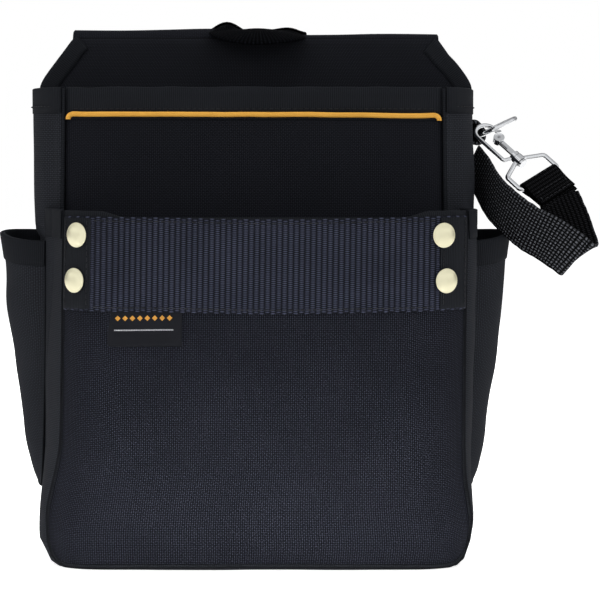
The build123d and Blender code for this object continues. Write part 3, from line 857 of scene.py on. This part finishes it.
def make_label():
    """A small folded label sewn under the webbing, with its lower corners lifting."""
    def face(u, v):
        x = lerp(LABEL_X[0], LABEL_X[1], u)
        z = lerp(LABEL_Z[1], LABEL_Z[0], v)
        share = (x + 101.7) / 216.6
        point, _ = on_front(clamp(share, 0.0, 1.0), z, 0.9)
        lift = 0.9 * ease(v) * (0.4 + abs(u - 0.5) * 1.2) + 0.25 * math.sin(u * 7)
        return Vector((x, point.y - lift, z + 0.4 * u))
    size = (LABEL_X[1] - LABEL_X[0], LABEL_Z[1] - LABEL_Z[0])
    slab("woven_label", face, (28, 14), size, 0.6, -1, LABEL, "woven_label", replaces=["label"])


# ---------------------------------------------------------------- main compartment


def main_half(y, z):
    """Half width of the main compartment at a depth and height."""
    return lerp(through(MAIN_PLAN_FOOT, y), through(MAIN_PLAN_HEAD, y), z / MAIN_HEAD)


def main_face(u, v):
    """Outer face of the main panel, with both edges turned back."""
    z = lerp(MAIN_HEAD, 0.8, v)
    half = main_half(MAIN_Y, z)
    x = (2 * u - 1) * half
    z += corner_rise(x, 0.0, half, CORNER) * v
    edge = clamp((abs(x) - half + 5) / 5, 0, 1)
    wave = rumple(Vector((x, 0, z)), 55.0, 1.6, 1.0) * (1 - edge) * ease((MAIN_HEAD - z) / 30)
    return Vector((x, MAIN_Y + 1.8 * edge**2 + wave, z))


def main_wall(s, t):
    """Gussets and base of the main compartment, from the panel's seam to the back."""
    y = lerp(MAIN_Y + 1.2, BACK_Y - 1.2, t)
    first = u_outline(s, main_half(y, 150.0), MAIN_HEAD, CORNER, y)
    half = main_half(y, first.z)
    point = u_outline(s, half, MAIN_HEAD, CORNER, y)
    out = outward(point, half, CORNER)
    groove = 2.2 * math.exp(-(((t - 0.09) / 0.05) ** 2)) * ease((MAIN_HEAD - point.z) / 26)
    waves = rumple(point, 34.0, 1.6, 7.0) * math.sin(math.pi * t)
    if point.x > 0:
        waves += 2.4 * math.exp(-(((point.z - 215) / 40) ** 2)) * math.sin(math.pi * t)
    else:
        waves += 3.2 * ease((point.z - 178) / 8) * math.sin(math.pi * t)
    point += out * (waves - groove) * (1 + out.z)
    point.z = max(point.z, CLOTH + 0.45)
    return point


def make_main():
    """Main panel, wall, base, seams, bindings and piping."""
    slab("main_panel_cloth", main_face, (72, 80), (212, 264), CLOTH, -1, MAIN_CLOTH_SHADED, "nylon_cloth",
         replaces=["main_panel"])
    slab("main_wall_cloth", main_wall, (170, 22), (770, 60), CLOTH, 1, GUSSET_CLOTH_LIT, "nylon_cloth",
         replaces=["main_gusset_left", "main_gusset_right", "main_base"])
    seam = [main_wall(n / 160, 0.0) + Vector((0, -0.4, 0)) for n in range(161)]
    seam = [point + Vector((0, 0, max(0.0, 1.5 - point.z))) for point in seam]
    sweep("main_seam_tape", seam, [FORWARD] * len(seam), round_profile(1.3, 1.0), BINDING,
          "binding_tape")
    mouth = hem(main_face, -1, (0, 0), (1, 0), 70)
    for n, point in enumerate(mouth):
        point.z += rumple(point, 14.0, 0.5, 4.0)
    binding("main_mouth_tape", mouth, [DOWN] * len(mouth), BINDING_DROP + 0.8,
            replaces=["main_mouth_binding"])
    for name, s in (("left", 0.0), ("right", 1.0)):
        edge = hem(main_wall, 1, (s, 0.0), (s, 0.97), 24)
        binding("main_gusset_tape_" + name, edge, [DOWN] * len(edge), BINDING_DROP,
                replaces=["main_gusset_binding_" + name])
    make_piping()
    rows = [row(main_face, -1, (0.02, 0.044), (0.98, 0.044), 90, TAPE + 0.1)]
    for s in (0.0133, 0.9867):
        rows.append(row(main_wall, -1, (s, 0.08), (s, 0.95), 20, CLOTH + TAPE + 0.1))
    rows.append(row(main_wall, -1, (0.02, 0.94), (0.98, 0.94), 200, CLOTH + 0.05))
    stitches("main_stitches", rows, THREAD, "binding_tape")


def make_piping():
    """The amber cord under the main binding, with both ends turned down."""
    half, turn, z = PIPING_HALF, PIPING_TURN, PIPING_Z
    path = []
    for k in range(9):
        angle = math.pi / 2 * k / 8
        path.append((-half + turn * (1 - math.sin(angle)), z - turn + turn * math.cos(angle)))
    path = [(-half, z - turn - 0.4)] + path[::-1]
    across = [(lerp(-half + turn, half - turn, n / 60), z) for n in range(1, 60)]
    path = path + across + [(-x, height) for x, height in reversed(path)]
    line = []
    for x, height in path:
        u = clamp((x / main_half(MAIN_Y, height) + 1) / 2, 0, 1)
        point = track(main_face, -1, [(u, (MAIN_HEAD - height) / MAIN_HEAD)], 1.3)[0][0]
        point.z += rumple(point, 20.0, 0.35, 6.0) - 0.5 * x / half
        line.append(point)
    sweep("piping_cord", line, [FORWARD] * len(line), round_profile(1.2, 1.45, 14), PIPING,
          "amber_piping", replaces=["piping"])
    flange = [point + Vector((0, 0.9, -2.0)) for point in line[4:-4]]
    sweep("piping_flange", flange, [FORWARD] * len(flange), round_profile(0.7, 0.8, 8), BINDING,
          "binding_tape")


# ---------------------------------------------------------------- back


def back_half(z):
    """Half width of the back at a height, chamfered at the top."""
    return lerp(BACK_HALF, FOLD_HALF, clamp((z - CHAMFER_Z) / (FOLD_Z - CHAMFER_Z), 0, 1))


def back_sheet(y, inset, waves):
    """A face of the back's layers at one depth."""
    def face(u, v):
        z = lerp(FOLD_Z, inset + 0.5, v)
        half = back_half(z) - inset
        x = (2 * u - 1) * half
        z += corner_rise(x, 0.0, half, CORNER) * v
        return Vector((x, y + rumple(Vector((x, 0, z)), 45.0, waves, y), z))
    return face


def fold_sag(x):
    """How far the fold hangs below its full height: more on the right, where the flap slumps."""
    return 1.4 + 2.6 * ease((x - 8) / 24) + 0.6 * ease((x - 60) / 40) + 0.5 * math.sin(x / 19)


def flap_path(count):
    """Outer face of the belt flap in (Y, Z): over the fold, down behind and in to its sewn foot."""
    outer_r = FOLD_INNER_R + CLOTH
    points = []
    for k in range(13):
        angle = math.pi * k / 12
        points.append(Vector((FOLD_Y - outer_r * math.cos(angle), FOLD_Z + outer_r * math.sin(angle), 0)))
    points += [Vector((y, z, 0)) for y, z in FLAP_DOWN]
    points.append(Vector((51.7, FLAP_FOOT_Z, 0)))
    return smooth_line(points, count)


def make_back():
    """Back cloth, lining, belt flap, edge bindings and the seam round the back."""
    slab("back_cloth", back_sheet(BACK_Y, 0.4, 0.7), (72, 84), (249, 294), CLOTH, 1, MAIN_CLOTH_SHADED,
         "nylon_cloth", replaces=["back_panel"])
    slab("back_lining_cloth", back_sheet(LINING_Y, 2.6, 0.9), (72, 84), (244, 292), 1.1, -1, LINING_CLOTH,
         "lining", replaces=["back_lining"])
    path = flap_path(FLAP_CELLS)

    def flap_face(u, v):
        n = int(v * FLAP_CELLS)
        place = path[n].lerp(path[min(n + 1, FLAP_CELLS)], v * FLAP_CELLS - n)
        x = lerp(-FOLD_HALF, FOLD_HALF, u)
        hang = math.sin(math.pi * clamp((FOLD_Z - place.y) / 55, 0, 1))
        behind = place.x > FOLD_Y
        sway = (rumple(Vector((x, place.y, 0)), 40.0, 1.6, 8.0) + 1.2) * hang if behind else 0.0
        dip = fold_sag(x) + 0.4 * rumple(Vector((x, 0, 0)), 30.0, 0.7, 2.0)
        top = ease((place.y - 290) / 8)
        return Vector((x, place.x + sway, place.y - dip * top))

    slab("belt_flap_cloth", flap_face, (72, FLAP_CELLS), (212, 100), CLOTH, -1, MAIN_CLOTH_SHADED, "nylon_cloth",
         replaces=["belt_flap"])
    stack_half = (BACK_Y - LINING_Y) / 2 + TAPE
    middle_y = (BACK_Y + LINING_Y) / 2
    for name, way in (("left", -1), ("right", 1)):
        corners = [(124.9, 258.0), (124.9, 267.5), (116.0, 281.0), (107.0, 294.0), (103.5, 297.2)]
        edge = smooth_line([Vector((way * x, middle_y, z)) for x, z in corners], 26)
        slump = 0.75 * fold_sag(way * FOLD_HALF)
        edge = [point - Vector((0, 0, slump * ease((point.z - 278) / 14))) for point in edge]
        slope = Vector((-way * 0.83, 0, -0.56))
        drops = [slope.lerp(Vector((-way, 0, 0)), ease((266 - p.z) / 8)) for p in edge]
        binding("back_tape_" + name, edge, drops, 9.5, stack_half, replaces=["back_binding_" + name])
    seam = [u_outline(n / 170, BACK_HALF + 0.2, CHAMFER_Z - 8, CORNER, BACK_Y - 0.6) for n in range(171)]
    seam = [point + Vector((0, 0, max(0.0, 1.75 - point.z))) for point in seam]
    sweep("back_seam_tape", seam, [Vector((0, 1, 0))] * len(seam), round_profile(2.0, 1.1), BINDING,
          "binding_tape")
    rows = []
    for height in (224.0, 229.5):
        v = min((n / 400 for n in range(200, 401)), key=lambda n: abs(flap_face(0.5, n).z - height))
        rows.append(row(flap_face, -1, (0.02, v), (0.98, v), 70))
    for u in (0.02, 0.98):
        rows.append(row(flap_face, -1, (u, 0.25), (u, 0.97), 50))
    stitches("back_stitches", rows, THREAD, "nylon_cloth")


# ---------------------------------------------------------------- side pockets


def pocket_face(way):
    """Outer face of a side pocket: a sagging half tube that lies flat on the gusset at its seams."""
    def face(u, v):
        z0 = lerp(POCKET_Z[1], POCKET_Z[0], v)
        turn = lerp(-math.pi / 2, math.pi / 2, u)
        long = through(POCKET_LONG, z0)
        y = POCKET_Y + long * 1.04 * math.sin(turn)
        z = z0 + (y - POCKET_Y) * 0.11 * (1 - v) + 1.2 * (1 - v) * math.cos(turn * 2)
        bow = math.cos(turn) ** 0.75 if abs(turn) < math.pi / 2 - 1e-6 else 0.0
        x = POCKET_CORE_X + (through(POCKET_REACH, z0) - POCKET_CORE_X) * bow
        x += rumple(Vector((way * 50, y, z)), 26.0, 1.5, 11.0) * bow * ease(v * 5)
        hug = main_half(y, z) + CLOTH + 0.3
        soft = 2.5
        gap = x - hug
        x = hug + (gap if gap > soft else soft * math.exp(gap / soft - 1))
        return Vector((way * x, y, z))
    return face


def make_pockets():
    """Two side pockets, each with a bound rim and its stitches."""
    rows = []
    for name, way in (("left", -1), ("right", 1)):
        face = pocket_face(way)
        slab("side_pocket_cloth_" + name, face, (44, 60), (74, 143), CLOTH, way, GUSSET_CLOTH_LIT, "nylon_cloth",
             replaces=["side_pocket_" + name])
        rim = hem(face, way, (0.0, 0.0), (1.0, 0.0), 44)
        drops = [(face(n / 44, 0.08) - face(n / 44, 0.0)).normalized() for n in range(45)]
        binding("side_tape_" + name, rim, drops, BINDING_DROP, replaces=["side_binding_" + name])
        rows.append(row(face, way, (0.03, 0.07), (0.97, 0.07), 44, TAPE + 0.1))
        for u in (0.04, 0.96):
            rows.append(row(face, way, (u, 0.1), (u, 0.97), 50))
    stitches("side_stitches", rows, THREAD, "binding_tape")


# ---------------------------------------------------------------- grab loop


def loop_crest(x, v):
    """Height of the loop's webbing where it crosses the fold: one hump for each leg."""
    if x < 0:
        return LOOP_TOP - 0.9 + 4.6 * math.sin(math.pi * clamp(v, 0.0, 1.0)) ** 1.3
    return LOOP_TOP - lerp(0.7, 3.6, v) + 2.6 * math.sin(math.pi * clamp(v, 0.0, 1.0) ** 1.2)


def loop_face(u, v):
    """Upper face of the free part of the grab loop: forward, round and back, drooping in front."""
    radius = lerp(LOOP_R[0], LOOP_R[1], v)
    if u < LOOP_LEG or u > 1 - LOOP_LEG:
        share = (u if u < LOOP_LEG else 1 - u) / LOOP_LEG
        x = -radius if u < LOOP_LEG else radius
        ahead = lerp(LOOP_ROOT, LOOP_LEG_REACH, share)
        swing = 0.0
    else:
        turn = math.pi * (u - LOOP_LEG) / (1 - 2 * LOOP_LEG)
        x = -radius * math.cos(turn)
        swing = math.sin(turn)
        ahead = LOOP_LEG_REACH + radius * swing
    inner = LOOP_TOP - 0.1 + 0.07 * ahead
    outer = LOOP_TOP - 0.6 - LOOP_SMILE * swing**1.3
    droop = lerp(0.0, 3.2, v) * ease(x / 20) * (1 - swing)
    band = lerp(inner, outer, v**1.15) - droop + 0.5 * math.sin(math.pi * v)
    z = lerp(loop_crest(x, v), band, ease((ahead + 0.5) / 9))
    return Vector((LOOP_MIDDLE + x, LOOP_HINGE.y - ahead, z))


def make_grab_loop():
    """The loop's free part, which bends at its root, and its two sewn ends behind."""
    free = slab("grab_loop_web", loop_face, (72, 10), (96, 20), 1.6, -1, LOOP, "strap_webbing", body=None,
                replaces=["grab_loop"])
    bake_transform(free)
    outer_r = FOLD_INNER_R + CLOTH + 1.9
    path = [Vector((FOLD_Y + outer_r * math.sin(a), FOLD_Z + outer_r * math.cos(a), 0))
            for a in [math.pi / 2 * k / 8 for k in range(9)]]
    path += [Vector((62.4, z, 0)) for z in (288.0, 280.0, 272.0, 264.0, 262.0)]
    path = smooth_line(path, LOOP_END_CELLS)
    rows = []
    for name, middle in (("left", LOOP_MIDDLE - 18), ("right", LOOP_MIDDLE + 18)):
        def face(u, v, middle=middle):
            n = int(v * LOOP_END_CELLS)
            spot = path[n].lerp(path[min(n + 1, LOOP_END_CELLS)], v * LOOP_END_CELLS - n)
            across = u if middle > LOOP_MIDDLE else 1 - u
            swell = loop_crest(middle - LOOP_MIDDLE, across) - FOLD_Z - outer_r
            way = Vector((0, spot.x - FOLD_Y, max(spot.y - FOLD_Z, 0.0))).normalized()
            return Vector((middle - 10 + 20 * u, spot.x, spot.y)) + way * swell * way.z * (1 - ease(v / 0.4))
        more = {"replaces": ["grab_loop_ends"]} if name == "left" else {}
        slab("grab_loop_end_" + name, face, (10, LOOP_END_CELLS), (20, 42), 1.5, -1, LOOP, "strap_webbing",
             **more)
        for v in (0.5, 0.95):
            rows.append(row(face, -1, (0.08, v), (0.92, v), 10))
        for u in (0.1, 0.9):
            rows.append(row(face, -1, (u, 0.5), (u, 0.95), 12))
        for u in (0.1, 0.9):
            rows.append(row(face, -1, (u, 0.5), (1 - u, 0.95), 14))
    stitches("grab_loop_stitches", rows, THREAD, "strap_webbing")


# ---------------------------------------------------------------- strap, ring and hook


def hook_point(x, y, z):
    """A point given in the hook's own axes."""
    axis = HOOK_AXIS
    across = (HOOK_ACROSS - axis * HOOK_ACROSS.dot(axis)).normalized()
    return HOOK_ORIGIN + axis * x + across * y + axis.cross(across) * z


def make_strap():
    """The tape from the seam to the hook's bar, its folded end, the ring's tab and the seam stub."""
    finish = hook_point(EYE_BAR_X + STRAP_END_REACH, 0, 0)
    across = (hook_point(0, 1, 0) - hook_point(0, 0, 0)).normalized()
    middles = [Vector(at) for at, _ in STRAP_ROUTE] + [finish]
    widths = [Vector(way) for _, way in STRAP_ROUTE] + [across]
    count, across_count = STRAP_CELLS
    gone = lengths(middles)
    line = smooth_line(middles, count)
    frames = []
    for n, middle in enumerate(line):
        tangent = tangent_at(line, n)
        way = between(gone, widths, gone[-1] * n / count)
        way = (way - tangent * way.dot(tangent)).normalized()
        frames.append((middle, way, tangent.cross(way)))

    def strap_face(u, v):
        middle, way, out = frames[round(u * count)]
        cup = 0.5 * (1 - (2 * v - 1) ** 2)
        edge = rumple(Vector((u * 200, v * 20, 0)), 5.0, 0.35, 1.0)
        return middle + way * ((v - 0.5) * STRAP_WIDE + edge * (2 * v - 1)) + out * (STRAP_THICK / 2 + cup)

    tape = slab("strap_tape", strap_face, STRAP_CELLS, (gone[-1], STRAP_WIDE), STRAP_THICK, 1, STRAP,
                "strap_webbing", body=None, replaces=["tape_strap"])
    # A slab's faces alternate between its outer and inner side, and its rim comes last. The inner side gets
    # the back-face webbing, whose darkness is partly the webbing's own back and partly painted shade
    tape.data.materials.append(STRAP_BACK_SHADED)
    for n, polygon in enumerate(tape.data.polygons):
        polygon.material_index = n % 2 if n < 2 * count * across_count else 0
    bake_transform(tape)
    make_strap_end()
    make_tab()
    stub = [Vector((BACK_HALF + 0.9, 48.6, z)) for z in (209.0, 215.0, 222.0, 229.0, 236.0, 242.0, 245.5)]
    sweep("strap_stub", stub, [Vector((1, 0, 0))] * len(stub), round_profile(1.5, 2.1, 14), STRAP,
          "strap_webbing", replaces=["strap_anchor"])


def make_strap_end():
    """The tape's end, wrapped round the hook's bar and sewn back on itself."""
    outline = [(STRAP_END_REACH, 0.9), (10.0, 0.95), (5.5, 1.5), (2.6, 2.3)]
    for degrees in range(70, 300, 20):
        turn = math.radians(degrees)
        outline.append((STRAP_SLEEVE_R * math.cos(turn), STRAP_SLEEVE_R * math.sin(turn)))
    outline += [(2.6, -2.3), (5.5, -1.5), (10.0, -1.1), (STRAP_END_REACH, -0.9)]
    outline.append((STRAP_END_REACH + 2.2, -1.0))
    path = smooth_line([Vector((a, b, 0)) for a, b in outline], STRAP_END_CELLS)

    def face(u, v):
        n = round(v * STRAP_END_CELLS)
        spot, way = path[n], tangent_at(path, n)
        out = Vector((-way.y, way.x, 0)) * -0.75
        return hook_point(EYE_BAR_X + spot.x + out.x, (u - 0.5) * STRAP_WIDE, spot.y + out.y)

    # The folded end shows the back-face webbing, darker partly as painted shade.
    slab("strap_fold", face, (12, STRAP_END_CELLS), (STRAP_WIDE, 48), 1.5, 1, STRAP_BACK_SHADED, "strap_webbing",
         body="tape_loop", replaces=["strap_end"])
    rows = []
    for lift in (1.95, -2.0):
        out = (hook_point(0, 0, lift) - hook_point(0, 0, 0)).normalized()
        corners = [(8.0, -10.5), (8.0, 10.5), (14.0, 10.5), (14.0, -10.5), (8.0, -10.5)]
        for (x0, y0), (x1, y1) in zip(corners, corners[1:]):
            rows.append([(hook_point(EYE_BAR_X + lerp(x0, x1, k / 8), lerp(y0, y1, k / 8), lift), out)
                         for k in range(9)])
    stitches("strap_stitches", rows, THREAD, "strap_webbing", body="tape_loop")


def make_tab():
    """The puckered tape tab that holds the ring, closed round its wire."""
    closed = [Vector((a, b, 0)) for a, b in TAB_OUTLINE + TAB_OUTLINE[:1]]
    rim = smooth_line(closed, 40)[:-1]
    points, faces, uvs = [], [], []
    for n in range(TAB_LAYERS + 1):
        share = 2 * n / TAB_LAYERS - 1
        scale = 0.62 + 0.38 * math.sqrt(1 - abs(share) ** 3)
        for k, spot in enumerate(rim):
            point = Vector((RING_HINGE.x + (spot.x + 1) * scale - 1, RING_HINGE.y + share * 3.8 + 0.6,
                            RING_HINGE.z + (spot.y - 1.5) * scale + 1.5))
            points.append(point + Vector((1, 0, 1)) * rumple(point, 3.2, 0.7, 2.0))
            uvs.append((k * 0.9, n * 0.75))
    add_tube(faces, 0, TAB_LAYERS + 1, len(rim))
    add_piece("ring_tab", points, faces, uvs, STRAP, "strap_webbing", body="tape_loop",
              replaces=["strap_tab"])


def dress_metal():
    """Materials of the CAD nodes that show as they are."""
    styles = {
        "ring": CHROME, "hook_body": CHROME, "gate_lever": CHROME, "swivel_eye": CHROME, "gate_pin": STEEL,
        "gate_spring": STEEL, "back_board": BOARD, "base_board": BOARD,
    }
    for node, style in styles.items():
        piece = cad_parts[node]
        piece.data.materials.clear()
        piece.data.materials.append(style)


# ---------------------------------------------------------------- stage


def area_light(name, at, aim, size, power, mirrored=False):
    """One softbox, which polished metal mirrors only if asked."""
    data = bpy.data.lights.new(name, "AREA")
    data.shape = "RECTANGLE"
    data.size, data.size_y = size
    data.energy = power
    light = bpy.data.objects.new(name, data)
    bpy.context.scene.collection.objects.link(light)
    light.location = at
    light.visible_glossy = mirrored
    light.visible_camera = False
    light.rotation_euler = (Vector(aim) - Vector(at)).to_track_quat("-Z", "Y").to_euler()


def make_stage():
    """Pale floor, white surroundings, softboxes and the camera."""
    mesh = bpy.data.meshes.new("floor")
    corners = [(-1, -1), (1, -1), (1, 1), (-1, 1)]
    mesh.from_pydata([(x * FLOOR_REACH, y * FLOOR_REACH, 0) for x, y in corners], [], [(0, 1, 2, 3)])
    floor = bpy.data.objects.new("floor", mesh)
    bpy.context.scene.collection.objects.link(floor)
    style = Style("floor_paper", roughness=0.9, specular=0.1)
    style.colour(style.ramp(style.noise(3.0), [(0.0, (0.86, 0.86, 0.86)), (1.0, (0.9, 0.9, 0.9))]))
    style.shader.inputs["Emission Color"].default_value = (1, 1, 1, 1)
    seen = style.tree.nodes.new("ShaderNodeLightPath").outputs["Is Camera Ray"]
    style.tree.links.new(style.times(seen, FLOOR_GLOW), style.shader.inputs["Emission Strength"])
    mesh.materials.append(style.material)

    world = bpy.data.worlds.new("surroundings")
    bpy.context.scene.world = world
    world.use_nodes = True
    tree = world.node_tree
    back = tree.nodes["Background"]
    rays = tree.nodes.new("ShaderNodeLightPath")
    gain = tree.nodes.new("ShaderNodeMath")
    gain.operation = "MULTIPLY_ADD"
    gain.inputs[1].default_value = GLOSSY_GAIN
    gain.inputs[2].default_value = 1.0
    tree.links.new(rays.outputs["Is Glossy Ray"], gain.inputs[0])
    tree.links.new(gain.outputs[0], back.inputs["Strength"])
    way = tree.nodes.new("ShaderNodeTexCoord")
    split = tree.nodes.new("ShaderNodeSeparateXYZ")
    tree.links.new(way.outputs["Generated"], split.inputs[0])
    depth = colour_ramp(tree, split.outputs[1], WORLD_DEPTH)
    strips = colour_ramp(tree, split.outputs[2], [(at, (grey,) * 3) for at, grey in WORLD_STRIPS])
    mirrored = mix_colours(tree, 1.0, depth, strips, "MULTIPLY")
    shown = mix_colours(tree, rays.outputs["Is Camera Ray"], mirrored, (1.0, 1.0, 1.0))
    tree.links.new(shown, back.inputs["Color"])

    area_light("key", (-0.9, -1.3, 1.1), (0, 0, 0.15), (1.0, 1.0), 5.5)
    area_light("fill", (1.1, -1.1, 0.7), (0, 0, 0.15), (0.9, 0.9), 4.5)
    area_light("top", (0.1, -0.3, 1.4), (0, 0, 0.1), (1.2, 0.8), 3)
    area_light("low", (0.0, -0.16, 0.012), (0, 0, 0.02), (0.34, 0.02), 0.3)
    area_light("sparkle", (-0.5, -1.2, 0.05), (0, 0, 0.2), (0.2, 0.2), 0.25, mirrored=True)
    area_light("rear", (0.0, 1.3, 0.9), (0, 0, 0.2), (1.2, 0.8), 26)

    camera_data = bpy.data.cameras.new("camera")
    camera_data.lens = CAMERA_LENS
    camera_data.sensor_width = CAMERA_SENSOR
    camera_data.clip_start = 0.01
    camera = bpy.data.objects.new("camera", camera_data)
    bpy.context.scene.collection.objects.link(camera)
    camera.location = CAMERA_AT
    camera.rotation_euler = (math.pi / 2 - CAMERA_PITCH, 0, 0)
    bpy.context.scene.camera = camera
    bpy.context.scene.view_settings.view_transform = "Standard"


make_stage()
make_front()
make_main()
make_back()
make_pockets()
make_grab_loop()
make_strap()
dress_metal()

bpy.context.view_layer.update()
